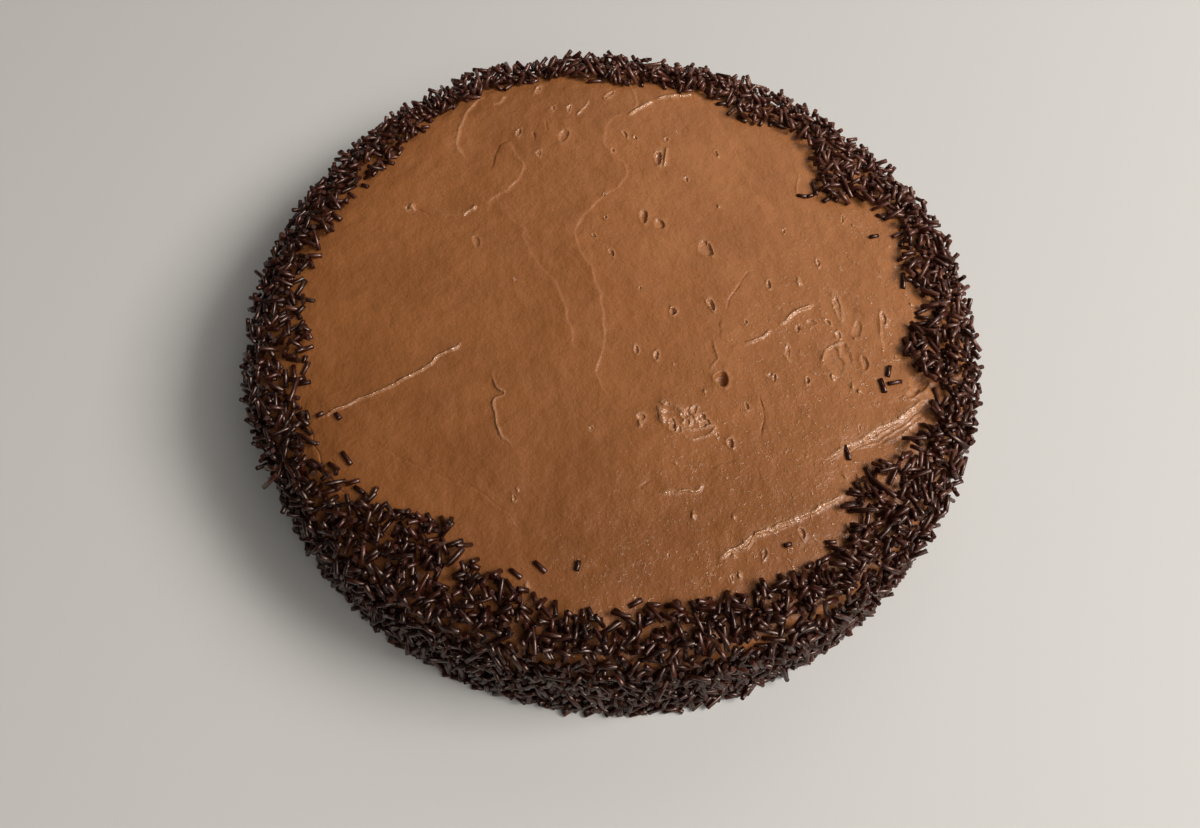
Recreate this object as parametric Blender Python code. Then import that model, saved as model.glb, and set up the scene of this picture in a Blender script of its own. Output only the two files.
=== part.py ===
"""An uncut round frosted cake, low and broad, coated with chocolate vermicelli round its side.

The whole cake is one solid, out to the mean face of its coat: a flat foot, a wall that leans in as
it rises, a tight rounded shoulder and a nearly level top. The top carries the long raised lips and
the shallow hollows that a spatula leaves in soft frosting, and its edge droops where the frosting
was laid on thin. The solid stands on its foot, with the origin in the middle of the foot.
"""

import math

import bmesh
import bpy

# Driving dimensions, in metres and degrees.
TOP_HEIGHT = 0.0372  # foot to the middle of the top
FOOT_RADIUS = 0.1190  # where the cake stands on its board
SKIRT_RADIUS = 0.1208  # widest ring, where loose vermicelli gathers above the foot
SKIRT_HEIGHT = 0.0030
WALL_RADIUS = 0.1156  # upper end of the wall, just under the shoulder
WALL_LEAN = 1.4  # 1 leans evenly, more leans most near the foot
SHOULDER_ROUND = 0.0052  # radius of the rounded shoulder
EDGE_DROP = 0.0020  # how far the rim of the top lies below its middle
EDGE_BAND = 0.0150  # width of the band over which the top falls to its rim

TOP_CELLS = 44  # cells across the top, which make four times as many round the side
SHOULDER_STEPS = 3
WALL_STEPS = 4

# Places where the frosting swells the outline or leaves it thin: angle, half width, height.
SWELLINGS = (
    (101.0, 4.0, 0.0012),
    (108.0, 4.0, -0.0014),
    (118.0, 7.0, 0.0034),
    (131.0, 8.0, 0.0014),
    (195.0, 12.0, 0.0022),
    (47.0, 7.0, -0.0014),
    (22.0, 8.0, 0.0012),
)
# Where the rim of the top droops: angle, half width, depth.
DROOPS = (
    (222.0, 20.0, 0.0026),
    (318.0, 16.0, 0.0014),
)

# The raised lips that the spatula left, each a smooth line through a few places on the top.
LIP_WIDTH = 0.0042
LIP_ENDS = 0.12  # how much of each lip's swell is cut off at either end
LIP_REACH = 0.0044  # how near to a lip the surface is made finer
LIPS = {
    "long": (0.0011, ((-0.003, 0.084), (-0.007, 0.073), (0.001, 0.058), (-0.014, 0.033),
                      (-0.005, 0.000), (-0.005, -0.025), (0.004, -0.038))),
    "fork": (0.0008, ((-0.040, 0.070), (-0.034, 0.057), (-0.045, 0.042), (-0.032, 0.027),
                      (-0.017, 0.000), (-0.012, -0.022))),
    "crown": (0.0012, ((-0.001, 0.084), (0.008, 0.091), (0.026, 0.096))),
    "left": (0.0009, ((-0.052, 0.090), (-0.060, 0.070), (-0.055, 0.060))),
    "fold": (0.0011, ((-0.089, -0.044), (-0.067, -0.032), (-0.049, -0.015))),
    "right": (0.0011, ((0.064, -0.050), (0.082, -0.040), (0.098, -0.029))),
    "front": (0.0010, ((0.032, -0.083), (0.047, -0.073), (0.067, -0.063))),
    "tail": (0.0008, ((0.040, -0.011), (0.052, -0.003), (0.065, 0.006))),
}

# Slow waves of the top: wavelength, direction in degrees, height.
WAVES = (
    (0.105, 25.0, 0.00035),
    (0.062, 100.0, 0.00025),
    (0.041, 155.0, 0.00018),
)


def bell(angle, centre, half_width):
    """1 at the centre angle, falling smoothly to 0 past the half width; angles in degrees."""
    away = (angle - centre + 180.0) % 360.0 - 180.0
    return math.exp(-((away / half_width) ** 2))


def swelling(angle):
    return sum(height * bell(angle, centre, width) for centre, width, height in SWELLINGS)


def droop(angle):
    return sum(depth * bell(angle, centre, width) for centre, width, depth in DROOPS)


def smooth_line(points, steps=6):
    """A Catmull-Rom line through the points, with a few steps in each span."""
    ends = (points[0],) + tuple(points) + (points[-1],)
    line = []
    for a, b, c, d in zip(ends, ends[1:], ends[2:], ends[3:]):
        for i in range(steps):
            t = i / steps
            line.append(tuple(
                b[k] + 0.5 * t * (c[k] - a[k]
                                  + t * (2 * a[k] - 5 * b[k] + 4 * c[k] - d[k]
                                         + t * (3 * (b[k] - c[k]) + d[k] - a[k])))
                for k in (0, 1)))
    return line + [tuple(points[-1])]


LIP_LINES = [(height, smooth_line(points)) for height, points in LIPS.values()]


def distance_to_line(x, y, line):
    """Distance from a place to the line, and how far along it that is, from 0 to 1."""
    best, where = math.inf, 0.0
    for i, ((ax, ay), (bx, by)) in enumerate(zip(line, line[1:])):
        dx, dy = bx - ax, by - ay
        t = max(0.0, min(1.0, ((x - ax) * dx + (y - ay) * dy) / (dx * dx + dy * dy)))
        away = math.hypot(x - ax - t * dx, y - ay - t * dy)
        if away < best:
            best, where = away, (i + t) / (len(line) - 1)
    return best, where


def lip_height(x, y):
    """Height of the raised lips at a place; each lip tapers away at both ends."""
    height = 0.0
    for crest, line in LIP_LINES:
        away, where = distance_to_line(x, y, line)
        taper = math.sin(math.pi * (LIP_ENDS + (1.0 - 2.0 * LIP_ENDS) * where))
        height = max(height, crest * taper * math.exp(-((2.0 * away / LIP_WIDTH) ** 2)))
    return height


def top_height(x, y):
    """Height of the frosting's top at a place."""
    angle = math.degrees(math.atan2(y, x))
    inner = WALL_RADIUS - SHOULDER_ROUND - EDGE_BAND
    edge = max(0.0, min(1.0, (math.hypot(x, y) - inner) / EDGE_BAND))
    height = TOP_HEIGHT - (EDGE_DROP + droop(angle)) * edge * edge
    for length, heading, rise in WAVES:
        along = x * math.cos(math.radians(heading)) + y * math.sin(math.radians(heading))
        height += rise * math.sin(2.0 * math.pi * along / length)
    return height + lip_height(x, y)


def side_profile(angle, rim_height):
    """Radius and height of each ring, from just outside the rim of the top down to the foot."""
    swell = swelling(angle)
    centre = WALL_RADIUS - SHOULDER_ROUND + swell
    wall_top = rim_height - SHOULDER_ROUND
    rings = []
    for i in range(1, SHOULDER_STEPS + 1):
        turn = 0.5 * math.pi * i / SHOULDER_STEPS
        rings.append((centre + SHOULDER_ROUND * math.sin(turn),
                      wall_top + SHOULDER_ROUND * math.cos(turn)))
    for i in range(1, WALL_STEPS + 1):
        t = i / WALL_STEPS
        rings.append((WALL_RADIUS + swell * (1.0 - t) + (SKIRT_RADIUS - WALL_RADIUS) * t ** WALL_LEAN,
                      wall_top + (SKIRT_HEIGHT - wall_top) * t))
    return rings + [(FOOT_RADIUS, 0.0)]


def frosting_material():
    material = bpy.data.materials.new("milk_chocolate_frosting")
    material.use_nodes = True
    shader = material.node_tree.nodes["Principled BSDF"]
    shader.inputs["Base Color"].default_value = (0.29, 0.108, 0.042, 1.0)
    shader.inputs["Roughness"].default_value = 0.42
    shader.inputs["Metallic"].default_value = 0.0
    return material


def frosted_cake():
    """One closed body: a grid drawn out to a disc for the top, and rings down to the foot."""
    bm = bmesh.new()
    bmesh.ops.create_grid(bm, x_segments=TOP_CELLS, y_segments=TOP_CELLS, size=1.0)

    # The square grid is drawn out to a disc that reaches the start of the shoulder.
    disc = WALL_RADIUS - SHOULDER_ROUND
    for vert in bm.verts:
        u, v = vert.co.x, vert.co.y
        x = u * math.sqrt(1.0 - 0.5 * v * v) * disc
        y = v * math.sqrt(1.0 - 0.5 * u * u) * disc
        reach = math.hypot(x, y) / disc
        grow = 1.0 + swelling(math.degrees(math.atan2(y, x))) / disc * reach ** 4
        vert.co = (x * grow, y * grow, 0.0)

    # Cells that a lip crosses are divided once.
    near = [edge for edge in bm.edges if not edge.is_boundary and min(
        distance_to_line(*((edge.verts[0].co + edge.verts[1].co) / 2.0).xy, line)[0]
        for _, line in LIP_LINES) < LIP_REACH]
    bmesh.ops.subdivide_edges(bm, edges=near, cuts=1, use_grid_fill=True)
    for vert in bm.verts:
        vert.co.z = top_height(vert.co.x, vert.co.y)

    # The rim is drawn out ring by ring, over the shoulder and down the wall.
    rim = [edge for edge in bm.edges if edge.is_boundary]
    profiles = {}
    for vert in {vert for edge in rim for vert in edge.verts}:
        angle = math.degrees(math.atan2(vert.co.y, vert.co.x))
        profiles[round(angle, 4)] = side_profile(angle, vert.co.z)
    for step in range(SHOULDER_STEPS + WALL_STEPS + 1):
        drawn = bmesh.ops.extrude_edge_only(bm, edges=rim)["geom"]
        for vert in (item for item in drawn if isinstance(item, bmesh.types.BMVert)):
            angle = math.atan2(vert.co.y, vert.co.x)
            radius, height = profiles[min(
                profiles, key=lambda key: abs(key - math.degrees(angle)))][step]
            vert.co = (radius * math.cos(angle), radius * math.sin(angle), height)
        rim = [item for item in drawn if isinstance(item, bmesh.types.BMEdge)]
    bmesh.ops.edgeloop_fill(bm, edges=rim)
    bmesh.ops.recalc_face_normals(bm, faces=bm.faces)

    mesh = bpy.data.meshes.new("frosted_cake")
    bm.to_mesh(mesh)
    bm.free()
    mesh.shade_smooth()
    mesh.set_sharp_from_angle(angle=math.radians(50.0))
    mesh.materials.append(frosting_material())
    cake = bpy.data.objects.new("frosted_cake", mesh)
    bpy.context.scene.collection.objects.link(cake)
    return cake


for old in list(bpy.data.objects):
    bpy.data.objects.remove(old)
frosted_cake()
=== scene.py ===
import math

import bpy
import numpy as np
from mathutils import Matrix, Vector


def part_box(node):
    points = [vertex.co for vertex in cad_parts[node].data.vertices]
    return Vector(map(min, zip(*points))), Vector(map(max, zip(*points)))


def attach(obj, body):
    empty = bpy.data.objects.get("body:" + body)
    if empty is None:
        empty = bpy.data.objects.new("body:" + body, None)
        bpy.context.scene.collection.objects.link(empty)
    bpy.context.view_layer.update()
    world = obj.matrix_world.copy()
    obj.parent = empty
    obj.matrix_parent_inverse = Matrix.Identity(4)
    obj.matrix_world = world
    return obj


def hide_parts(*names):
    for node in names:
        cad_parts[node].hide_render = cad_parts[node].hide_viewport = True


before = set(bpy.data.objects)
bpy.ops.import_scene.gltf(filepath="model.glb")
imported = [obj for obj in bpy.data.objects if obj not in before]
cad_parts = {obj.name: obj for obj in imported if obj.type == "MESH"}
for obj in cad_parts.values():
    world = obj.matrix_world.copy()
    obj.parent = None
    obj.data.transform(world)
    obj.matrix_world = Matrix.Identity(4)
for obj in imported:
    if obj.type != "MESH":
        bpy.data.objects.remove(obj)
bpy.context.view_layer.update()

# ---------------------------------------------------------------------------------------------
# The frosting: soft milk-chocolate frosting over the whole cake, drawn nearly level over the top
# with a spatula, which leaves lips, pocks and a rougher edge, and laid thinner down the side.
# It is one closed skin: a grid drawn out to a disc, finer near each mark, then the side and foot.
# ---------------------------------------------------------------------------------------------
cake_low, cake_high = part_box("frosted_cake")
foot_spread = cake_high.x  # half the cake's width at its widest, loose vermicelli included
coat = 0.0016  # how far the vermicelli stands out from the frosting
lean = 0.0052  # how far the wall leans in from its widest ring to the shoulder
skirt = 0.0036  # how far loose vermicelli spreads round the foot of the frosting
top_height = 0.0372  # foot to the middle of the top
wall_radius = foot_spread - lean - coat  # at the upper end of the wall
foot_radius = foot_spread - skirt
foot_bevel = 0.0012  # how far the edge of the foot is drawn in
wall_curve = 1.4  # 1 leans evenly, more leans most near the foot
shoulder_round = 0.0050  # radius of the rounded shoulder
edge_drop = 0.0020  # how far the rim of the top lies below its middle
edge_band = 0.0150  # width of the band over which the top falls to its rim
disc_radius = wall_radius - shoulder_round  # of the top, inside the shoulder

# Angle round the cake in degrees, half width in degrees, and how far the outline swells there.
swellings = ((101, 4, 0.0012), (108, 4, -0.0014), (118, 7, 0.0034), (131, 8, 0.0014),
             (195, 12, 0.0022), (47, 7, -0.0014), (22, 8, 0.0012))
# The same for where the rim of the top droops.
droops = ((222, 20, 0.0026), (318, 16, 0.0014))
# Slow waves of the top: length, heading in degrees and height. Then the height of finer ones.
slow_waves = ((0.105, 25, 0.00035), (0.062, 100, 0.00025), (0.041, 155, 0.00018))
undulation, dimpling, edge_roughness, side_roughness = 0.00014, 0.00009, 0.00016, 0.00022


def bells(angle, places):
    """The sum of smooth swells round the cake; angle is in radians."""
    total = np.zeros_like(angle)
    for centre, half_width, size in places:
        away = (np.degrees(angle) - centre + 180) % 360 - 180
        total += size * np.exp(-(away / half_width) ** 2)
    return total


def ripples(x, y, lengths, seed, count=14):
    """Smooth unevenness between about -1 and 1, made of waves of the lengths, in all directions."""
    draw = np.random.default_rng(seed)
    total = np.zeros_like(x)
    for length in draw.uniform(*lengths, count):
        heading, start = draw.uniform(0, 2 * math.pi, 2)
        total += np.sin((x * math.cos(heading) + y * math.sin(heading)) * 2 * math.pi / length + start)
    return total / math.sqrt(count)


def smooth_line(points, steps=5):
    """A line in metres that runs smoothly through all the points, which are in millimetres."""
    points = np.array([points[0], *points, points[-1]], float) / 1000
    line = []
    for a, b, c, d in zip(points, points[1:], points[2:], points[3:]):
        for t in np.arange(steps) / steps:
            line.append(b + 0.5 * t * (c - a + t * (2 * a - 5 * b + 4 * c - d
                                                    + t * (3 * (b - c) + d - a))))
    return np.array(line + [points[-1]])


# Marks that the spatula left, each with its width, how far it stands up, how far the frosting drops
# from its right to its left (facing along its path), all in mm, and the path from the middle.
lips = [
    (0.8, 0.08, 0.30, [(12, 93), (4, 87), (-2, 84), (-6, 80), (-6.5, 74), (-7, 70), (-4, 66), (0, 62),
                       (1.5, 56), (-2, 50), (-7, 46), (-11, 40), (-15, 33), (-14, 25), (-10, 17),
                       (-6, 6), (-4, -5), (-3.6, -14), (-5.5, -22), (-4, -29), (0, -33), (6, -38)]),
    (0.8, 0.10, 0.28, [(-42, 70), (-40, 67), (-37, 62), (-34.8, 58), (-36, 54), (-39, 48), (-42, 45.5),
                       (-45.5, 42), (-45, 40)]),
    (0.8, 0.05, 0.22, [(-40, 38), (-36, 33), (-32.5, 31), (-32.5, 27), (-29, 20), (-24, 13), (-19, 6),
                       (-17, 0), (-15, -7), (-13, -15), (-11.5, -22)]),
    (1.0, 0.34, -0.16, [(1, 84), (4, 87.5), (8, 90.5), (10, 92.5)]),
    (0.9, 0.42, -0.18, [(10, 93.5), (15, 95), (20, 96), (27, 97)]),
    (0.9, 0.20, 0.20, [(-52, 92), (-56, 88), (-58.5, 80), (-60, 70), (-59, 65), (-55, 60)]),
    (0.5, 0.50, -0.12, [(-90, -45.5), (-86, -43.5), (-80, -39.5), (-73, -35.5), (-67, -32),
                        (-63, -29), (-57, -24), (-55, -20.5), (-50, -17.5), (-48.5, -15.5)]),
    (1.3, 0.30, -0.50, [(63, -51), (68, -47.5), (74, -44), (80, -40.5), (86, -37), (91, -33),
                        (95, -29.5), (99, -27)]),
    (0.6, 0.24, 0.0, [(64, -51.5), (70, -47.5), (77, -43.6), (84, -39.6), (90, -35), (96, -30)]),
    (0.5, 0.18, 0.0, [(72, -47.5), (78, -44.6), (85, -40.8), (92, -35.2), (98, -30.5)]),
    (0.6, 0.20, -0.16, [(81, -44.5), (86, -41.8), (91, -38), (96, -33.5)]),
    (1.0, 0.32, -0.40, [(31, -84), (33, -81), (38, -78.5), (41, -76), (46, -73), (52, -70.5),
                        (58, -68), (62, -65.5), (66, -63.5), (70, -60)]),
    (0.5, 0.34, 0.0, [(36, -80.5), (40, -78.5), (43, -74.5), (48, -73), (54, -70.6)]),
    (0.8, 0.46, -0.28, [(52, -3.2), (55, -1.4), (58, 1.6), (61, 4), (65, 5.4)]),
    (0.6, 0.36, -0.10, [(41, -11), (45, -9.6), (48, -7.5), (50, -5)]),
    (0.7, 0.32, -0.26, [(14, -63.8), (20, -63), (25, -62), (28, -60.2)]),
    (0.7, 0.02, 0.22, [(28, -60), (29.5, -57), (33, -54), (38, -52.6)]),
    (0.6, 0.26, -0.34, [(-38, -24), (-37, -30), (-33.5, -33.5), (-36, -35), (-36.6, -38),
                        (-35, -42), (-34, -46), (-32.5, -49), (-29, -51.5)]),
    (0.6, 0.04, -0.26, [(34, -2.5), (33.3, -5), (33.6, -7), (34, -9.5), (37, -12.5)]),
    (0.6, 0.16, -0.24, [(31, -11), (31.5, -14), (32, -17), (30.5, -20), (30, -22)]),
    (0.8, 0.12, 0.14, [(2, 101), (3, 96), (4.4, 91), (3, 88)]),
    (0.7, 0.24, 0.16, [(-13.5, 91), (-15, 87), (-18, 82)]),
    (0.9, 0.16, 0.10, [(-63, 35.5), (-56, 36), (-52, 37)]),
    (0.7, 0.26, 0.16, [(-50, 40), (-51, 38), (-54, 35)]),
    (0.6, 0.22, 0.00, [(19, -44), (24, -46), (28, -45), (31, -41), (25, -42.5), (19, -43)]),
    (0.7, 0.20, 0.15, [(85.5, 2), (85, -4), (85, -12)]),
    (0.7, 0.14, 0.12, [(62, 61), (62, 55), (61, 50)]),
    (0.8, 0.30, -0.10, [(65, -17.5), (65.5, -14.5), (67, -12), (69.7, -10), (74, -8.4)]),
    (0.7, 0.20, -0.10, [(61, -20), (66, -21.4), (70, -22)]),
    (0.8, 0.30, 0.10, [(14.6, 60.5), (15, 65), (15.6, 70)]),
    (0.9, 0.20, -0.10, [(-49, 87), (-46, 89), (-45, 93)]),
]
# Narrow furrows, which are given in the same way but reach down.
furrows = [
    (0.8, -0.12, 0.34, [(-46.3, 55), (-45.8, 60), (-44.6, 66), (-42.6, 69), (-40, 69.6)]),
    (0.7, -0.30, 0.0, [(-70, 37), (-67, 35.6), (-65, 33.6)]),
    (0.5, -0.30, 0.0, [(45, -30), (46, -36), (45, -44)]),
    (0.6, -0.14, 0.0, [(-73, -51), (-63, -56), (-52, -61), (-40, -65), (-30, -71), (-20, -79)]),
    (0.5, -0.20, 0.0, [(35.5, 1), (36, 5), (39, 9), (42, 15), (43, 17)]),
    (0.5, -0.24, 0.0, [(-28.6, 80), (-27.6, 75)]),
    (0.4, -0.03, 0.10, [(27, 97), (34, 84), (41, 68), (47, 50), (52, 36)]),
    (0.6, -0.26, 0.0, [(-33, 74), (-32, 70)]),
    (0.6, -0.20, 0.0, [(12, -60), (9, -62), (11, -64)]),
    (0.4, -0.30, 0.05, [(-96, -42), (-90, -49), (-87, -55), (-84, -61), (-79, -66), (-73, -72),
                       (-65, -77), (-60, -82)]),
]
# Dents, and pocks where air bubbles broke: place, half width and half length in mm, turn in degrees
# and depth in mm.
pocks = [
    (12.6, 64.5, 1.2, 3.2, 5, 1.3), (33.5, 68.5, 0.6, 1.5, 20, 0.8), (-4, 67, 0.7, 0.9, 0, 0.7),
    (0.4, 75, 0.7, 2.0, 30, 0.7), (4.3, 73.6, 0.6, 1.2, 25, 0.6), (15.5, 73.4, 0.7, 0.9, 0, 0.7),
    (-21.5, 72.6, 1.7, 3.0, -10, 0.6), (-38, 73.6, 0.9, 2.2, -10, 0.6), (-27, 86, 0.7, 1.5, 0, 0.5),
    (7.8, 37.8, 1.3, 2.6, 10, 1.0), (13.4, 34.6, 1.5, 2.4, 20, 0.9), (-5, 37, 0.6, 0.8, 0, 0.5),
    (29, 25.2, 2.1, 3.2, 18, 0.6), (30.6, 25, 0.7, 2.6, 15, 0.6), (-2.5, 22, 0.7, 1.9, 28, 0.9),
    (-8.5, 29, 0.6, 1.2, 25, 0.6), (-6, 47, 0.6, 0.8, 0, 0.7), (7.3, 8.3, 0.5, 0.7, 0, 0.5),
    (18.3, -0.4, 0.9, 1.3, 10, 1.4), (30.5, 2.6, 0.9, 2.0, 20, 1.0), (49.8, 12, 0.7, 1.6, 5, 0.8),
    (6.6, -15, 0.7, 1.5, 15, 0.6), (13, -17, 0.8, 1.5, 10, 0.7), (33.4, -24.8, 2.1, 2.6, 10, 2.2),
    (35.6, -46.5, 0.9, 1.6, 15, 0.8), (69, -15.5, 3.1, 5.4, 12, 0.32), (73, -13, 1.7, 3.9, 8, 0.36),
    (78.8, -16.2, 1.3, 3.1, 6, 0.60), (77.6, -3.6, 1.4, 3.7, -4, 0.34), (71.8, 5, 1.2, 4.9, 10, 0.30),
    (71.3, -6, 0.9, 1.6, 10, 0.4), (54.6, -13.6, 0.9, 2.6, 5, 0.25), (50, -23.6, 0.6, 1.6, 5, 0.6),
    (41, -34, 0.7, 1.3, 12, 0.6), (60, -24, 0.7, 1.4, 0, 0.7), (86.6, 1.4, 1.0, 2.6, 5, 0.5),
    (27.5, -38, 0.8, 1.2, 0, 0.7), (44.4, -81, 0.8, 1.5, -20, 0.6), (55.4, -74, 0.8, 1.6, 25, 0.6),
    (-30, 64, 1.0, 1.5, 0, 0.4), (-6, 94, 0.8, 2.6, -30, 0.4), (-33, 96, 0.9, 2.2, -25, 0.4),
    (-20.5, 86, 0.8, 1.8, 0, 0.5), (22.6, 55.5, 0.6, 1.0, 20, 0.5), (41.8, -3, 0.5, 0.7, 0, 0.6),
    (58, -4.6, 0.8, 1.8, 0, 0.5), (63, -2, 1.6, 1.0, 10, 0.4), (68.4, -1.4, 0.8, 1.4, 20, 0.5),
    (56, 34.4, 0.6, 1.2, -10, 0.5), (-71.6, 37.4, 0.9, 1.2, 0, -0.7), (-48, 24, 1.3, 2.6, 10, 0.35),
    (-73.2, 37, 0.5, 0.9, 0, 0.5), (66.6, 22, 0.7, 2.0, 5, 0.4), (76.4, 41, 0.6, 1.6, 0, 0.4),
    (95, -23, 2.8, 3.6, -50, 0.8), (93, -26, 1.4, 3.0, -50, 0.6),
]
# Small lumps and pocks lie at random, most of them to the right, where the frosting was worked less,
# and a cluster of larger lumps lies where the spatula was lifted.
scatter = np.random.default_rng(11)
smooth_radius = 98
for _ in range(230):
    x, y = scatter.uniform(-smooth_radius, smooth_radius, 2)
    chance = 0.04 + 0.8 * max(0.0, (x - 0.7 * y) / 130)
    if math.hypot(x, y) < smooth_radius and scatter.random() < chance:
        size = scatter.uniform(0.30, 0.60)
        pocks.append((x, y, size, size * scatter.uniform(1.0, 2.2), scatter.uniform(-5, 25),
                      size * scatter.choice([-0.6, -0.6, 0.6])))
cluster_middle, cluster_spread = (21, -37.5), (4.5, 3.0)
for _ in range(20):
    x, y = scatter.normal(cluster_middle, cluster_spread)
    size = scatter.uniform(0.6, 1.2)
    pocks.append((x, y, size, size * scatter.uniform(1.0, 1.8), scatter.uniform(0, 90),
                  size * scatter.choice([-0.5, 0.5])))

marks = [(width / 1000, lip / 1000, drop / 1000, smooth_line(path))
         for width, lip, drop, path in lips + furrows]
drop_reach = 0.0085  # how far beside a lip the drop fades out
mark_range = 0.025  # a mark is not felt farther away than this
wobble = 0.00028  # how far the marks stray from their smooth paths
glossy_lip = 0.0003  # lips as high as this are fully glossy
small_pock = 1.3  # pocks narrower than this, in mm, are glossier


def along_mark(x, y, line):
    """Signed distance to a line, positive on its left, and the share of the line passed there."""
    best = np.full_like(x, np.inf)
    signed, share = np.zeros_like(x), np.zeros_like(x)
    for i, (a, b) in enumerate(zip(line, line[1:])):
        dx, dy = b - a
        t = np.clip(((x - a[0]) * dx + (y - a[1]) * dy) / (dx * dx + dy * dy), 0, 1)
        px, py = x - a[0] - t * dx, y - a[1] - t * dy
        away = np.hypot(px, py)
        nearer = away < best
        best = np.where(nearer, away, best)
        signed = np.where(nearer, np.where(dx * py - dy * px > 0, away, -away), signed)
        share = np.where(nearer, (i + t) / (len(line) - 1), share)
    return signed, share


def mark_relief(x, y):
    """At each place: height of all the marks, how near the nearest of them is, and how glossy it is."""
    height = np.zeros_like(x)
    nearness = np.full_like(x, np.inf)
    gloss = np.zeros_like(x)
    wx = x + wobble * ripples(x, y, (0.004, 0.011), 21)
    wy = y + wobble * ripples(x, y, (0.004, 0.011), 22)
    vary = 1 + 0.35 * ripples(x, y, (0.004, 0.015), 23)
    for width, lip, drop, line in marks:
        low, high = line.min(0) - mark_range, line.max(0) + mark_range
        near = (wx > low[0]) & (wx < high[0]) & (wy > low[1]) & (wy < high[1])
        signed, share = along_mark(wx[near], wy[near], line)
        fade = np.clip(np.minimum(share, 1 - share) * 7, 0, 1)
        away = np.abs(signed)
        rise = lip * np.exp(-(signed / (0.5 * width)) ** 2) * vary[near]
        step = -0.5 * drop * np.tanh(signed / (0.45 * width)) * np.exp(-(away / drop_reach) ** 1.3)
        height[near] += (rise + step) * fade
        nearness[near] = np.minimum(nearness[near], away / width)
        sharp = min(1.0, max(lip / glossy_lip, 0.1))
        gloss[near] = np.maximum(gloss[near], sharp * np.clip(1.2 - 0.6 * away / width, 0, 1) * fade)
    for px, py, half_width, half_length, turn, depth in pocks:
        reach = half_length * 0.0025
        near = (np.abs(wx - px / 1000) < reach) & (np.abs(wy - py / 1000) < reach)
        c, s = math.cos(math.radians(turn)), math.sin(math.radians(turn))
        dx, dy = wx[near] - px / 1000, wy[near] - py / 1000
        across, along = (dx * c + dy * s) / half_width, (dy * c - dx * s) / half_length
        away = np.hypot(across, along) * 1000
        away *= 1 + 0.07 * np.sin(3 * np.arctan2(across, along) + px + py)
        bowl = -depth * np.clip(1 - away ** 4, 0, 1)
        rim = 0.12 * abs(depth) ** 0.7 * np.exp(-((away - 1.15) / 0.28) ** 2)
        height[near] += (bowl + rim) / 1000
        nearness[near] = np.minimum(nearness[near], np.maximum(away - 0.6, 0) * 1.2)
        shine = 0.9 if half_width < small_pock else 0.5
        gloss[near] = np.maximum(gloss[near], shine * np.clip(2.0 - away, 0, 1))
    return height, nearness, gloss


def frosting_top(x, y):
    """Height of the top at each place, with all its marks."""
    angle, reach = np.arctan2(y, x), np.hypot(x, y)
    edge = np.clip((reach - disc_radius + edge_band) / edge_band, 0, 1)
    height = top_height - (edge_drop + bells(angle, droops)) * edge ** 2
    for length, heading, rise in slow_waves:
        turn = math.radians(heading)
        height += rise * np.sin((x * math.cos(turn) + y * math.sin(turn)) * 2 * math.pi / length)
    height += (undulation * ripples(x, y, (0.012, 0.030), 31)
               + dimpling * ripples(x, y, (0.004, 0.009), 32))
    height += edge_roughness * edge * ripples(x, y, (0.0028, 0.0060), 33)
    return height + mark_relief(x, y)[0]


cells = 140  # across the top
ring_step = 0.010  # the side's rings are kept apart by this until they get their places
shoulder_rings, wall_rings = 5, 9
bpy.ops.object.select_all(action="DESELECT")
bpy.ops.mesh.primitive_grid_add(x_subdivisions=cells, y_subdivisions=cells, size=2)
frosting = bpy.context.object
frosting.name = "frosting"


def corners(mesh):
    """The mesh's points as one array."""
    places = np.empty(len(mesh.vertices) * 3)
    mesh.vertices.foreach_get("co", places)
    return places.reshape(-1, 3)


def place_corners(mesh, places):
    """Moves the mesh's points to the places."""
    mesh.vertices.foreach_set("co", np.asarray(places, np.float32).ravel())
    mesh.update()


# The square grid is drawn out to a disc, and its rim to the cake's uneven outline.
spots = corners(frosting.data)
u, v = spots[:, 0].copy(), spots[:, 1].copy()
spots[:, 0] = u * np.sqrt(1 - 0.5 * v ** 2) * disc_radius
spots[:, 1] = v * np.sqrt(1 - 0.5 * u ** 2) * disc_radius
share = np.hypot(spots[:, 0], spots[:, 1]) / disc_radius
grow = 1 + bells(np.arctan2(spots[:, 1], spots[:, 0]), swellings) / disc_radius * share ** 4
spots[:, :2] *= grow[:, None]
place_corners(frosting.data, spots)

# Cells near a mark are divided, and those right on it are divided again and again. How near is
# given in widths of the mark.
for near_enough in (2.0, 1.2, 0.6):
    bpy.ops.object.mode_set(mode="EDIT")
    bpy.ops.mesh.select_mode(type="FACE")
    bpy.ops.mesh.select_all(action="DESELECT")
    bpy.ops.object.mode_set(mode="OBJECT")
    mesh = frosting.data
    middles = np.empty(len(mesh.polygons) * 3)
    mesh.polygons.foreach_get("center", middles)
    middles = middles.reshape(-1, 3)
    nearness = mark_relief(middles[:, 0], middles[:, 1])[1]
    mesh.polygons.foreach_set("select", nearness < near_enough)
    bpy.ops.object.mode_set(mode="EDIT")
    bpy.ops.mesh.subdivide(number_cuts=1)
    bpy.ops.object.mode_set(mode="OBJECT")

# The rim is extruded ring by ring for the side, and closed flat under the foot.
bpy.ops.object.mode_set(mode="EDIT")
bpy.ops.mesh.select_mode(type="EDGE")
bpy.ops.mesh.select_all(action="SELECT")
bpy.ops.mesh.region_to_loop()
for _ in range(shoulder_rings + wall_rings + 1):
    bpy.ops.mesh.extrude_edges_move(TRANSFORM_OT_translate={"value": (0, 0, -ring_step)})
bpy.ops.mesh.edge_face_add()
bpy.ops.object.mode_set(mode="OBJECT")


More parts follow.
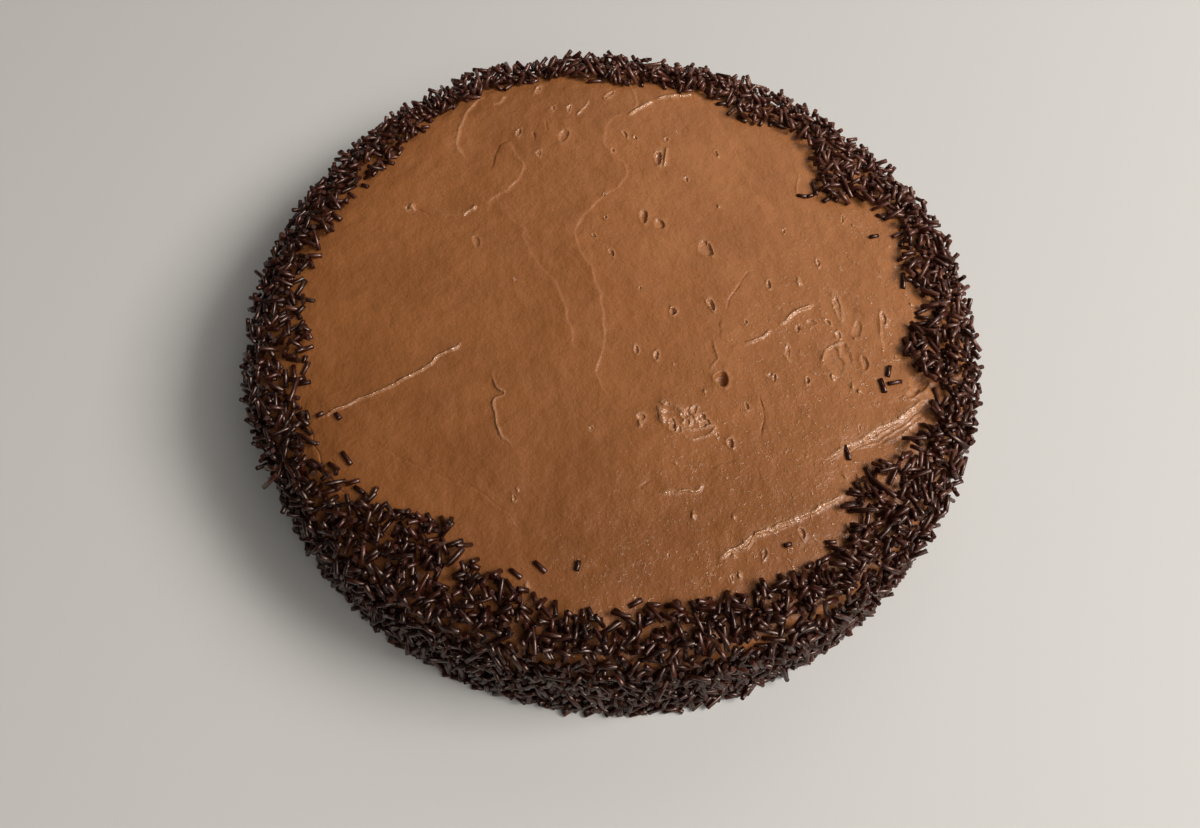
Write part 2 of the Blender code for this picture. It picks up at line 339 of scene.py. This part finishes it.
def side_ring(angle, ring):
    """Radius and height of the frosting's side; ring 0 is the rim, and a ring need not be whole."""
    swell = bells(angle, swellings)
    rim_radius = disc_radius + swell
    rim_height = frosting_top(rim_radius * np.cos(angle), rim_radius * np.sin(angle))
    turn = 0.5 * math.pi * np.clip(ring / shoulder_rings, 0, 1)
    down = np.clip((ring - shoulder_rings) / wall_rings, 0, 1)
    radius = (rim_radius + shoulder_round * np.sin(turn) - swell * down
              + (foot_radius - wall_radius) * down ** wall_curve)
    height = rim_height - shoulder_round * (1 - np.cos(turn))
    height -= (rim_height - shoulder_round - cake_low.z) * down
    around = angle * wall_radius
    rough = side_roughness * ripples(around, height * 1.2, (0.004, 0.012), 41) * np.clip(ring, 0, 1)
    return radius + rough * np.cos(0.5 * math.pi * down ** 8), height


spots = corners(frosting.data)
ring = np.round(-spots[:, 2] / ring_step)
angle = np.arctan2(spots[:, 1], spots[:, 0])
on_top = ring < 0.5
spots[on_top, 2] = frosting_top(spots[on_top, 0], spots[on_top, 1])
side = (ring > 0.5) & (ring < shoulder_rings + wall_rings + 0.5)
radius, height = side_ring(angle[side], ring[side])
spots[side] = np.stack([radius * np.cos(angle[side]), radius * np.sin(angle[side]), height], 1)
foot = ring > shoulder_rings + wall_rings + 0.5
inner = foot_radius - foot_bevel
spots[foot] = np.stack([inner * np.cos(angle[foot]), inner * np.sin(angle[foot]),
                        np.full(foot.sum(), cake_low.z)], 1)
place_corners(frosting.data, spots)

bpy.ops.object.mode_set(mode="EDIT")
bpy.ops.mesh.select_all(action="SELECT")
bpy.ops.mesh.normals_make_consistent(inside=False)
bpy.ops.object.mode_set(mode="OBJECT")
bpy.ops.object.shade_smooth()

# The frosting is glossier on its lips, and coarse and speckled at the right, near the front and at
# the edge, where the spatula passed less often. Its colour is partly its own tone and partly painted
# light: paler to the right of the last stroke and over the whole cake to the right and to the back,
# with painted shade near the front.
stroke_step, paler_to_right, paler_to_back, paler_as_far_as = 0.24, 2.6, 3.8, 0.045
x, y = spots[:, 0], spots[:, 1]
last_stroke = smooth_line(lips[0][3])[::-1]
right_of_it = 1 / (1 + np.exp((np.interp(y, last_stroke[:, 1], last_stroke[:, 0]) - x) / 0.001))
right_of_it *= np.clip((y + 0.070) / 0.035, 0, 1)
pale_with_painted_light = (-0.14 + stroke_step * right_of_it + paler_to_right * x
        + paler_to_back * np.minimum(y, paler_as_far_as))
# Painted shade: a darker patch near the front of the top.
pale_with_painted_light -= 0.25 * np.exp(-((x + 0.010) ** 2 + (y + 0.080) ** 2) / 0.030 ** 2)
glossy = mark_relief(x, y)[2] * on_top
edge = np.clip((np.hypot(x, y) - 0.096) / 0.010, 0, 1)
coarse = np.clip((x - 0.6 * y - 0.020) / 0.075, 0, 1) + 0.35 * edge
coarse = np.clip(coarse, 0, 1)
for name, values in (("glossy", glossy), ("coarse", coarse), ("pale_with_painted_light", pale_with_painted_light)):
    frosting.data.attributes.new(name, "FLOAT", "POINT").data.foreach_set("value", values)


def node(tree, kind, **values):
    """A new node with its settings and the values of its sockets."""
    made = tree.nodes.new(kind)
    for name, value in values.items():
        if name in made.inputs:
            made.inputs[name].default_value = value
        else:
            setattr(made, name, value)
    return made


def new_material(name):
    """A material with an empty principled shader, and its tree and shader."""
    material = bpy.data.materials.new(name)
    material.use_nodes = True
    return material, material.node_tree, material.node_tree.nodes["Principled BSDF"]


def colour_ramp(tree, *stops):
    """A ramp from one colour to the next; each stop is a place and a colour."""
    ramp = tree.nodes.new("ShaderNodeValToRGB")
    elements = ramp.color_ramp.elements
    while len(elements) < len(stops):
        elements.new(0.5)
    for element, (place, colour) in zip(elements, stops):
        element.position = place
        element.color = (*colour, 1)
    return ramp


def noise(tree, scale, detail, roughness=0.6):
    """Noise that is fixed to the piece."""
    made = node(tree, "ShaderNodeTexNoise", Scale=scale, Detail=detail, Roughness=roughness)
    tree.links.new(node(tree, "ShaderNodeTexCoord").outputs["Object"], made.inputs["Vector"])
    return made.outputs["Fac"]


def attribute(tree, name):
    """A value that the mesh keeps at each of its points."""
    return node(tree, "ShaderNodeAttribute", attribute_name=name).outputs["Fac"]


def calculate(tree, operation, *values):
    """The result of an operation; each value is a number or the output of a node."""
    made = node(tree, "ShaderNodeMath", operation=operation)
    for socket, value in zip(made.inputs, values):
        if isinstance(value, (int, float)):
            socket.default_value = value
        else:
            tree.links.new(value, socket)
    return made.outputs["Value"]


def spread(tree, value, low, high, to_low, to_high, way="SMOOTHSTEP"):
    """A value, with the range from low to high spread out to the one from to_low to to_high."""
    made = node(tree, "ShaderNodeMapRange", interpolation_type=way)
    ends = {"From Min": low, "From Max": high, "To Min": to_low, "To Max": to_high}
    for name, number in ends.items():
        made.inputs[name].default_value = number
    tree.links.new(value, made.inputs["Value"])
    return made.outputs["Result"]


def milk_chocolate_frosting():
    """Satin frosting: slightly blotchy brown with fine grain and painted light, and small glossy specks
    where coarse, with painted highlights on them and on the lips.
    """
    material, tree, shader = new_material("milk_chocolate_frosting")
    link = tree.links.new
    coarse, glossy, pale_with_painted_light = (attribute(tree, name) for name in ("coarse", "glossy", "pale_with_painted_light"))
    brown = colour_ramp(tree, (0.0, (0.158, 0.0530, 0.0142)), (0.50, (0.264, 0.0955, 0.0285)),
                        (1.0, (0.385, 0.1500, 0.0500)))
    tone = calculate(tree, "MULTIPLY_ADD", noise(tree, 48, 4), 0.55, 0.145)
    tone = calculate(tree, "MULTIPLY_ADD", noise(tree, 420, 3), 0.16, tone)
    # The brown is made paler by the frosting's own tone and by painted light.
    link(calculate(tree, "MULTIPLY_ADD", pale_with_painted_light, 0.5, tone), brown.inputs["Fac"])

    # Glossy specks lie in drifts where it is coarse, and its lips gleam in patches. Both get a painted
    # highlight: a pale colour mixed into the brown.
    drifts = calculate(tree, "MULTIPLY_ADD", noise(tree, 170, 2), 0.30,
                       calculate(tree, "ADD", noise(tree, 720, 2), -0.15))
    specks = calculate(tree, "MULTIPLY", spread(tree, drifts, 0.60, 0.69, 0.0, 1.0), coarse)
    patches = spread(tree, noise(tree, 360, 2), 0.36, 0.54, 0.45, 1.0)
    gleam = calculate(tree, "MULTIPLY", calculate(tree, "MULTIPLY", glossy, glossy), patches)
    # Painted highlight: a pale colour mixed in on the gleaming lips and specks.
    painted_highlight_mix = node(tree, "ShaderNodeMix", data_type="RGBA")
    link(calculate(tree, "MAXIMUM", calculate(tree, "MULTIPLY", gleam, 0.38),
                   calculate(tree, "MULTIPLY", specks, 0.25)), painted_highlight_mix.inputs["Factor"])
    link(brown.outputs["Color"], painted_highlight_mix.inputs[6])
    painted_highlight_mix.inputs[7].default_value = (0.60, 0.31, 0.15, 1)
    link(painted_highlight_mix.outputs[2], shader.inputs["Base Color"])

    roughness = calculate(tree, "MULTIPLY_ADD", noise(tree, 130, 3), 0.16, 0.33)
    wet = calculate(tree, "MAXIMUM", gleam, calculate(tree, "MULTIPLY", specks, 0.9))
    link(calculate(tree, "MULTIPLY_ADD", wet, -0.25, roughness), shader.inputs["Roughness"])
    link(calculate(tree, "MULTIPLY_ADD", wet, 0.6, 0.26), shader.inputs["Specular IOR Level"])

    # Fine grain, soft lumps, and small dabs along the glossy lips.
    grain_height = calculate(tree, "MULTIPLY_ADD", coarse, 0.2, 1.1)
    lump_height = calculate(tree, "MULTIPLY_ADD", coarse, 0.2, 3.2)
    dab_height = calculate(tree, "MULTIPLY", gleam, 3.4)
    grain = calculate(tree, "MULTIPLY", noise(tree, 900, 3), grain_height)
    lumps = calculate(tree, "MULTIPLY", noise(tree, 280, 3), lump_height)
    dabs = calculate(tree, "MULTIPLY", noise(tree, 560, 2), dab_height)
    height = calculate(tree, "ADD", calculate(tree, "ADD", grain, lumps),
                       calculate(tree, "MULTIPLY_ADD", specks, 1.1, dabs))
    bump = node(tree, "ShaderNodeBump", Strength=1.0, Distance=0.00016)
    link(height, bump.inputs["Height"])
    link(bump.outputs["Normal"], shader.inputs["Normal"])
    return material


frosting.data.materials.append(milk_chocolate_frosting())
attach(frosting, "root")
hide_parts("frosted_cake")

# ---------------------------------------------------------------------------------------------
# One rod of vermicelli: extruded dark chocolate, glazed, about 1.5 mm thick and broken off at
# both ends. A few shapes are modelled, straight and a little bent, and copied for all the rest.
# ---------------------------------------------------------------------------------------------
rod_thickness = 0.00148
rod_sides = 8
end_inset = 0.13  # width of the softened edge of an end, as a share of half the thickness
end_rounding = 0.980  # how far out the edge of an end lies, where the flat end lies at 1


def rod_shape(name, bend, cuts):
    """A rod of length 1 along X and half thickness 1, with softened edges, bent by the way up Z.

    It is cut across at the given places, so that it can bend there.
    """
    bpy.ops.object.select_all(action="DESELECT")
    bpy.ops.mesh.primitive_cylinder_add(vertices=rod_sides, radius=1, depth=1,
                                        rotation=(0, math.pi / 2, 0))
    rod = bpy.context.object
    rod.name = name
    bpy.ops.object.transform_apply(location=False, rotation=True, scale=False)
    bpy.ops.object.mode_set(mode="EDIT")
    for cut in cuts:
        bpy.ops.mesh.select_all(action="SELECT")
        bpy.ops.mesh.bisect(plane_co=(cut, 0, 0), plane_no=(1, 0, 0))
    bpy.ops.mesh.select_mode(type="FACE")
    bpy.ops.mesh.select_all(action="DESELECT")
    bpy.ops.object.mode_set(mode="OBJECT")
    for face in rod.data.polygons:
        face.select = abs(face.normal.x) > 0.9
    bpy.ops.object.mode_set(mode="EDIT")
    bpy.ops.mesh.inset(thickness=end_inset)
    bpy.ops.object.mode_set(mode="OBJECT")
    places = corners(rod.data)
    ring = (np.hypot(places[:, 1], places[:, 2]) > 0.99) & (np.abs(places[:, 0]) > 0.45)
    places[ring, 0] *= end_rounding
    places[:, 2] += bend * (0.25 - places[:, 0] ** 2) * 4
    place_corners(rod.data, places)
    faces = [tuple(face.vertices) for face in rod.data.polygons]
    rounded = [float(np.ptp(places[list(face), 0])) > 0.1 for face in faces]
    bpy.data.objects.remove(rod)
    return places, faces, rounded


rod_shapes = [rod_shape("straight_rod", 0.0, []), rod_shape("bent_rod", 0.11, [0.0]),
              rod_shape("curved_rod", 0.28, [-0.2, 0.2])]


def dark_chocolate_glaze():
    """Dark chocolate under a thin glaze, dull at the broken ends; rods are lighter and darker at
    random, and painted light makes them lighter to the right and to the back.
    """
    material, tree, shader = new_material("dark_chocolate_glaze")
    link = tree.links.new
    brown = colour_ramp(tree, (0.0, (0.0120, 0.0020, 0.0007)), (0.6, (0.036, 0.0066, 0.0028)),
                        (1.0, (0.100, 0.0330, 0.0200)))
    link(attribute(tree, "tone"), brown.inputs["Fac"])
    link(brown.outputs["Color"], shader.inputs["Base Color"])
    scuffs = noise(tree, 1100, 2, 0.5)
    broken = attribute(tree, "broken")
    gloss = spread(tree, scuffs, 0.3, 0.7, 0.22, 0.40, "LINEAR")
    link(calculate(tree, "MULTIPLY_ADD", broken, 0.35, gloss), shader.inputs["Roughness"])
    link(calculate(tree, "MULTIPLY_ADD", broken, -0.45, 0.72), shader.inputs["Specular IOR Level"])
    bump = node(tree, "ShaderNodeBump", Strength=0.15, Distance=0.00010)
    link(scuffs, bump.inputs["Height"])
    link(bump.outputs["Normal"], shader.inputs["Normal"])
    shader.inputs["Specular Tint"].default_value = (1.0, 0.78, 0.68, 1)
    return material


glaze = dark_chocolate_glaze()


def join_rods(name, rods):
    """One piece made of many rods.

    Each rod has a middle, a direction, an upward side, a length, a thickness, a kind and a tone.
    """
    points, faces, tones, broken, rounded, start = [], [], [], [], [], 0
    for middle, direction, upward, length, thickness, kind, tone in rods:
        shape, shape_faces, shape_rounded = rod_shapes[kind]
        side_way = np.cross(upward, direction)
        side_way /= np.linalg.norm(side_way)
        top_way = np.cross(direction, side_way)
        half = 0.5 * thickness
        places = (middle + np.outer(shape[:, 0] * length, direction)
                  + np.outer(shape[:, 1] * half, side_way) + np.outer(shape[:, 2] * half, top_way))
        points.append(places)
        faces.extend(tuple(start + i for i in face) for face in shape_faces)
        tones.append(np.full(len(shape), tone))
        broken.append(np.abs(shape[:, 0]) > 0.495)
        rounded.extend(shape_rounded)
        start += len(shape)
    mesh = bpy.data.meshes.new(name)
    mesh.from_pydata(np.concatenate(points).tolist(), [], faces)
    mesh.attributes.new("tone", "FLOAT", "POINT").data.foreach_set("value", np.concatenate(tones))
    ends = np.concatenate(broken).astype(float)
    mesh.attributes.new("broken", "FLOAT", "POINT").data.foreach_set("value", ends)
    mesh.polygons.foreach_set("use_smooth", rounded)
    mesh.materials.append(glaze)
    piece = bpy.data.objects.new(name, mesh)
    bpy.context.scene.collection.objects.link(piece)
    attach(piece, "root")
    return piece


# ---------------------------------------------------------------------------------------------
# The vermicelli coat: rods pressed on by hand in all directions. Each rod is laid where it comes
# to rest on the frosting or on the rods already there, so that they lie on and over each other.
# ---------------------------------------------------------------------------------------------
cell = 0.00025  # of the map that keeps how high the coat already is
map_radius = 0.112  # at which the map is true to scale
inner_reach = 0.030  # how far in from the rim of the top rods are laid
shoulder_length = 0.5 * math.pi * shoulder_round
wall_length = 0.0315
foot_gap = 0.0004  # rods keep clear of the foot by this
around_cells = int(2 * math.pi * map_radius / cell)
down_cells = int((inner_reach + shoulder_length + wall_length) / cell)
coat_map = np.zeros((around_cells, down_cells))
sink = 0.28  # share of its thickness that a rod sinks into the frosting
steepest_rest = 0.9  # slope of a rod that leans on others
felt_steps = 14  # places along a rod where its underside is felt
felt_reach = 0.46  # how far out those lie, as a share of its length
closeness = 0.96  # how much of a rod's height the next rod on it feels, so that they lie close


def coat_surface(angle, down):
    """Places on the frosting; down is the way from the rim of the top, over the shoulder and down."""
    ring = np.where(down < shoulder_length, down / shoulder_length * shoulder_rings,
                    shoulder_rings + (down - shoulder_length) / wall_length * wall_rings)
    radius, height = side_ring(angle, np.clip(ring, 0, shoulder_rings + wall_rings))
    inward = disc_radius + bells(angle, swellings) + np.minimum(down, 0)
    on_top = down < 0
    radius = np.where(on_top, inward, radius)
    flat = frosting_top(inward * np.cos(angle), inward * np.sin(angle))
    height = np.where(on_top, flat, height)
    return np.stack([radius * np.cos(angle), radius * np.sin(angle), height], 1)


def lay_rod(angle, down, heading, length, thickness, it_stays):
    """Height and slope at which a rod comes to rest; if it stays, the map is raised under it.

    The rod's underside is felt at steps along three lines, and it rests on the two steps, one on
    either side of its middle, that hold it up highest.
    """
    half = 0.5 * thickness
    radius = map_radius if down > 0 else disc_radius + down
    stretch = map_radius / radius
    ca, sa = math.cos(heading), math.sin(heading)
    steps = np.linspace(-felt_reach, felt_reach, felt_steps) * length
    best = np.full(len(steps), -np.inf)
    for offset in (-0.7 * half, 0.0, 0.7 * half):
        around = (angle * map_radius + (steps * ca - offset * sa) * stretch) / cell
        across = (down + inner_reach + steps * sa + offset * ca) / cell
        rows = around.astype(int) % around_cells
        columns = np.clip(across.astype(int), 0, down_cells - 1)
        best = np.maximum(best, coat_map[rows, columns] + math.sqrt(half ** 2 - offset ** 2))
    left, right = steps < 0, steps > 0
    ts, te = steps[left][:, None], steps[right][None, :]
    hs, he = best[left][:, None], best[right][None, :]
    at_middle = (hs * te - he * ts) / (te - ts)
    i, j = np.unravel_index(np.argmax(at_middle), at_middle.shape)
    rest = at_middle[i, j]
    slope = (he[0, j] - hs[i, 0]) / (te[0, j] - ts[i, 0])
    slope = max(-steepest_rest, min(steepest_rest, slope))
    if it_stays:
        reach = 0.5 * length + half
        wide = int(reach * stretch / cell) + 1
        tall = int(reach / cell) + 1
        row0, column0 = int(angle * map_radius / cell), int((down + inner_reach) / cell)
        rows = np.arange(row0 - wide, row0 + wide + 1)
        columns = np.arange(max(0, column0 - tall), min(down_cells, column0 + tall + 1))
        du = (rows[:, None] * cell - angle * map_radius) / stretch
        dv = columns[None, :] * cell - down - inner_reach
        t, w = du * ca + dv * sa, dv * ca - du * sa
        inside = (np.abs(t) < 0.5 * length) & (np.abs(w) < half)
        top = rest + slope * t + np.sqrt(np.clip(half ** 2 - w ** 2, 0, None)) * closeness
        block = np.ix_(rows % around_cells, columns)
        coat_map[block] = np.where(inside, np.maximum(coat_map[block], top), coat_map[block])
    return rest, slope


draw = np.random.default_rng(5)
usual_length, shortest, longest = 0.0046, 0.0019, 0.0088


def rod_sizes():
    """Length and thickness of one rod, as they come out of the packet."""
    length = float(np.clip(draw.lognormal(math.log(usual_length), 0.26), shortest, longest))
    return length, rod_thickness * draw.uniform(0.88, 1.10)


# How far in from the rim of the top the border of vermicelli reaches, and where it reaches further
# or less far: angle round the cake, half width in degrees, and how much, in metres.
border_reach = 0.0085
reaches = ((12, 5, 0.004), (37, 7, 0.015), (63, 5, 0.005), (107, 6, -0.0085), (125, 12, -0.0025),
           (148, 8, 0.002), (161, 3, 0.004), (190, 9, 0.0055), (226, 8, 0.002), (239, 8, 0.012),
           (252, 8, 0.004), (281, 7, 0.003), (322, 9, 0.0075), (344, 4, -0.003), (354, 6, 0.009))
# Where the border is thinner: angle, half width in degrees, and by what share.
thinner = ((185, 32, -0.55), (140, 25, -0.30), (20, 12, -0.15), (262, 14, -0.15))
# Places where hardly any vermicelli stuck: angle, way down from the rim, half width, in mm.
bare_places = [(188, -3, 4), (190, 3, 3), (212, -4, 4), (258, -1, 2.4), (283, -2, 2.4), (302, -8, 3),
               (305, 3, 2), (325, -9, 4), (346, -5, 3.5), (340, -11, 4), (356, -4, 3), (107, -1, 5),
               (110, 4, 3), (233, -8, 3), (205, 2, 2.5), (318, 4, 1.6), (274, 2, 1.5), (60, -4, 2.5)]


def bareness(angle, down):
    """1 where no rod may lie, 0 where they lie thick."""
    worst = 0.0
    for place, way, half_width in bare_places:
        around = ((math.degrees(angle) - place + 180) % 360 - 180) * math.radians(1) * disc_radius
        away = math.hypot(around, down - way / 1000) * 1000 / half_width
        worst = max(worst, 1.0 - away ** 4)
    return worst


def lay_rods(handfuls, tries, low, high, fullness, lift):
    """Lays rods between two ways down the side, each in the lowest place of a few tries.

    Fullness is the share of tries that hold at a place. A rod that would lie higher than lift
    falls off.
    """
    rods = []
    for _ in range(handfuls):
        length, thickness = rod_sizes()
        choices = []
        for _ in range(tries):
            angle = draw.uniform(0, 2 * math.pi)
            down = draw.uniform(low, high)
            heading = draw.uniform(0, math.pi)
            ends = abs(math.sin(heading)) * 0.5 * length
            if down + ends > shoulder_length + wall_length - foot_gap:
                down = shoulder_length + wall_length - foot_gap - ends
            if draw.random() > fullness(angle, down) or draw.random() < bareness(angle, down):
                continue
            rest, slope = lay_rod(angle, down, heading, length, thickness, False)
            choices.append((rest, slope, angle, down, heading))
        if not choices:
            continue
        rest, slope, angle, down, heading = min(choices)
        if rest > lift:
            continue
        lay_rod(angle, down, heading, length, thickness, True)
        rods.append((angle, down, heading, length, thickness, rest, slope))
    return rods


def stand_up(rods, share, steepest):
    """Turns some rods out of the coat, so that they stick out with one end in the frosting."""
    turned = []
    for angle, down, heading, length, thickness, rest, slope in rods:
        if draw.random() < share:
            slope = draw.choice([-1, 1]) * draw.uniform(0.3, steepest)
            rest = rest + 0.30 * length * abs(math.sin(math.atan(slope)))
        turned.append((angle, down, heading, length, thickness, rest, slope))
    return turned


kind_shares = [0.90, 0.08, 0.02]  # straight, bent and curved rods
# Painted light: the rods' colour gets lighter to the right and to the back.
painted_light_to_right, painted_light_to_back = 2.2, 2.2  # for each metre


def rods_in_place(rods):
    """The rods as join_rods takes them, from where they lie on the frosting."""
    angle, down, heading, length, thickness, rest, slope = np.array(rods).T
    middle = coat_surface(angle, down)
    small = 0.0004
    turn = small / map_radius
    round_way = coat_surface(angle + turn, down) - coat_surface(angle - turn, down)
    down_way = coat_surface(angle, down + small) - coat_surface(angle, down - small)
    round_way /= np.linalg.norm(round_way, axis=1)[:, None]
    down_way /= np.linalg.norm(down_way, axis=1)[:, None]
    outward = np.cross(down_way, round_way)
    outward /= np.linalg.norm(outward, axis=1)[:, None]
    outward *= np.sign(outward[:, 2] + 0.05)[:, None]
    direction = (np.cos(heading)[:, None] * round_way + np.sin(heading)[:, None] * down_way
                 + slope[:, None] * outward)
    direction /= np.linalg.norm(direction, axis=1)[:, None]
    middle += outward * (rest - sink * thickness)[:, None]
    lowest = middle[:, 2] - np.abs(direction[:, 2]) * 0.5 * length - 0.5 * thickness
    middle[:, 2] += np.clip(cake_low.z + 0.0002 - lowest, 0, None)
    roll = draw.uniform(0, 2 * math.pi, len(rods))
    side_way = np.cross(direction, outward)
    upward = np.cos(roll)[:, None] * outward + np.sin(roll)[:, None] * side_way
    kinds = draw.choice(len(rod_shapes), len(rods), p=kind_shares)
    # Each rod's tone varies at random, and painted light makes it lighter to the right and to the back.
    tones = (draw.normal(0.45, 0.20, len(rods)) + painted_light_to_right * middle[:, 0]
             + painted_light_to_back * middle[:, 1])
    tones = np.clip(tones, 0, 1)
    return [(middle[i], direction[i], upward[i], length[i], thickness[i], kinds[i], tones[i])
            for i in range(len(rods))]


def border_fullness(angle, down):
    """Thick at the rim, and thinning out to the border's uneven inner edge."""
    reach = border_reach + float(bells(np.array(angle), reaches))
    share = 1 + down / max(reach, 0.0005)
    thick = 1 + float(bells(np.array(angle), thinner))
    return 0.0 if share < 0 else thick * min(1.0, 0.40 + 1.2 * share)


def all_full(angle, down):
    """The shoulder and the side are covered all over, but for the bare places."""
    return 1.0


# The border is strewn first, then the shoulder and the side are pressed on, where rods find gaps.
border_rods = lay_rods(9500, 1, -inner_reach, 0.003, border_fullness, 0.0038)
shoulder_rods = lay_rods(4000, 4, -0.003, shoulder_length + 0.002, all_full, 0.0044)
wall_rods = lay_rods(7500, 5, shoulder_length - 0.001, shoulder_length + wall_length, all_full,
                     0.0038)
join_rods("rim_vermicelli", rods_in_place(stand_up(border_rods, 0.10, 0.8)))
join_rods("shoulder_vermicelli", rods_in_place(stand_up(shoulder_rods, 0.14, 1.0)))
placed = rods_in_place(stand_up(wall_rods, 0.12, 0.9))
join_rods("left_side_vermicelli", [rod for rod in placed if rod[0][0] < 0])
join_rods("right_side_vermicelli", [rod for rod in placed if rod[0][0] >= 0])

# ---------------------------------------------------------------------------------------------
# Strays: single rods that fell on the smoothed top, and loose rods that dropped from the side
# and lie against the foot of the cake.
# ---------------------------------------------------------------------------------------------
# Each stray: place in millimetres, direction in degrees and length in millimetres.
strays = [(-88, -43.5, 30, 2.2), (-82.3, -44.2, -45, 2.5), (-91.5, -57.5, 60, 4),
          (-77.4, -57.8, -50, 5), (-67.5, -67.5, 70, 2.4), (-74.5, -65, 20, 4), (-60, -74.5, 45, 3),
          (-51, -75, -60, 3), (-25, -90, -35, 4), (-18.4, -87.7, -40, 4.4), (-8, -86.8, 80, 3),
          (8.5, -96.5, 30, 4), (13.5, -96.7, 0, 3.4), (24.5, -97, -60, 4), (28.7, -95.5, 80, 3.2),
          (35, -94, -35, 4.5), (44, -91.5, -45, 5.5), (51.2, -77.8, 20, 2.2), (70.5, -48, -78, 5),
          (72.8, -59, -60, 4), (76.5, -55, -70, 5.5), (76.5, -61.5, 45, 2), (86, -19, 75, 4),
          (83.5, -24.5, -80, 5), (87.5, -23, 15, 4.5), (86.5, 33.8, 15, 3), (94.5, 16, 85, 6),
          (98, 16, -50, 5), (90, 43, -20, 3.5), (63, 50.5, -10, 3.2), (66, 51, 20, 2.6),
          (43, 85, -30, 4), (36, 92.5, 10, 4.2)]
stray_rods = []
for x, y, heading, length in strays:
    place = np.array([x / 1000]), np.array([y / 1000])
    middle = np.array([place[0][0], place[1][0], frosting_top(*place)[0] + 0.2 * rod_thickness])
    turn = math.radians(heading)
    direction = np.array([math.cos(turn), math.sin(turn), draw.uniform(-0.06, 0.10)])
    direction /= np.linalg.norm(direction)
    stray_rods.append((middle, direction, np.array([0, 0, 1.0]), length / 1000,
                       rod_thickness * draw.uniform(0.95, 1.08), int(draw.choice([0, 0, 1])),
                       float(draw.uniform(0.2, 0.6))))
join_rods("stray_vermicelli", stray_rods)

# Loose rods lie round the foot, mostly along it; some lie on others and lean.
loose_rods = []
loose_count = 420
for _ in range(loose_count):
    angle = draw.uniform(0, 2 * math.pi)
    length, thickness = rod_sizes()
    layer = draw.choice([0, 0, 1])
    out = foot_radius + draw.uniform(0.4, 3.2 - 1.6 * layer) / 1000
    turn = angle + math.pi / 2 + draw.normal(0, 0.5)
    tilt = draw.uniform(-0.12, 0.12) if layer == 0 else draw.uniform(-0.5, 0.5)
    direction = np.array([math.cos(turn) * math.cos(tilt), math.sin(turn) * math.cos(tilt),
                          math.sin(tilt)])
    height = (cake_low.z + 0.5 * thickness + abs(direction[2]) * 0.5 * length
              + layer * draw.uniform(0.6, 1.1) * rod_thickness)
    middle = np.array([out * math.cos(angle), out * math.sin(angle), height])
    loose_rods.append((middle, direction, np.array([0, 0, 1.0]), length, thickness,
                       int(draw.choice([0, 0, 1, 2])), float(np.clip(draw.normal(0.45, 0.2), 0, 1))))
join_rods("foot_vermicelli", loose_rods)

# ---------------------------------------------------------------------------------------------
# The setting: a plain pale table top, soft window light from the right, and the camera
# held over the front edge, looking down at the cake.
# ---------------------------------------------------------------------------------------------
bpy.ops.object.select_all(action="DESELECT")
bpy.ops.mesh.primitive_plane_add(size=8, location=(0, 0, cake_low.z))
table = bpy.context.object
table.name = "table_top"
table_finish, tree, shader = new_material("pale_table")
shader.inputs["Base Color"].default_value = (0.545, 0.530, 0.505, 1)
shader.inputs["Roughness"].default_value = 0.7
table.data.materials.append(table_finish)


def soft_light(name, place, aim, width, height, power, colour):
    """A flat soft light that faces a point."""
    light = bpy.data.lights.new(name, "AREA")
    light.shape = "RECTANGLE"
    light.size, light.size_y = width, height
    light.energy = power
    light.color = colour
    lamp = bpy.data.objects.new(name, light)
    lamp.location = place
    lamp.rotation_euler = (Vector(aim) - Vector(place)).to_track_quat("-Z", "Y").to_euler()
    bpy.context.scene.collection.objects.link(lamp)


soft_light("window", (1.56, -0.08, 1.41), (0, 0, 0), 1.0, 0.8, 43, (1.0, 0.975, 0.94))
soft_light("wall", (1.04, -0.87, 1.60), (0, 0, 0), 2.2, 1.2, 23, (1.0, 0.97, 0.94))
soft_light("room", (0.6, 1.5, 1.5), (0, 0, 0), 1.6, 1.2, 7, (1.0, 0.97, 0.95))

world = bpy.data.worlds.new("room_light")
bpy.context.scene.world = world
world.use_nodes = True
world.node_tree.nodes["Background"].inputs["Color"].default_value = (0.82, 0.81, 0.80, 1)
world.node_tree.nodes["Background"].inputs["Strength"].default_value = 0.055

camera_target = Vector((-0.0038, -0.0197, 0))
camera_distance = 0.3151
camera_elevation = math.radians(62.76)
camera_roll = math.radians(2.72)
away = Vector((0, -math.cos(camera_elevation), math.sin(camera_elevation)))
level_up = Vector((0, math.sin(camera_elevation), math.cos(camera_elevation)))
right = math.cos(camera_roll) * Vector((1, 0, 0)) + math.sin(camera_roll) * level_up
up = away.cross(right)
camera = bpy.data.objects.new("camera", bpy.data.cameras.new("camera"))
camera.data.lens = 27
camera.data.sensor_width = 36
camera.data.clip_start = 0.01
camera.location = camera_target + away * camera_distance
camera.rotation_euler = Matrix((right, up, away)).transposed().to_euler()
bpy.context.scene.collection.objects.link(camera)
bpy.context.scene.camera = camera
bpy.context.scene.view_settings.view_transform = "Standard"
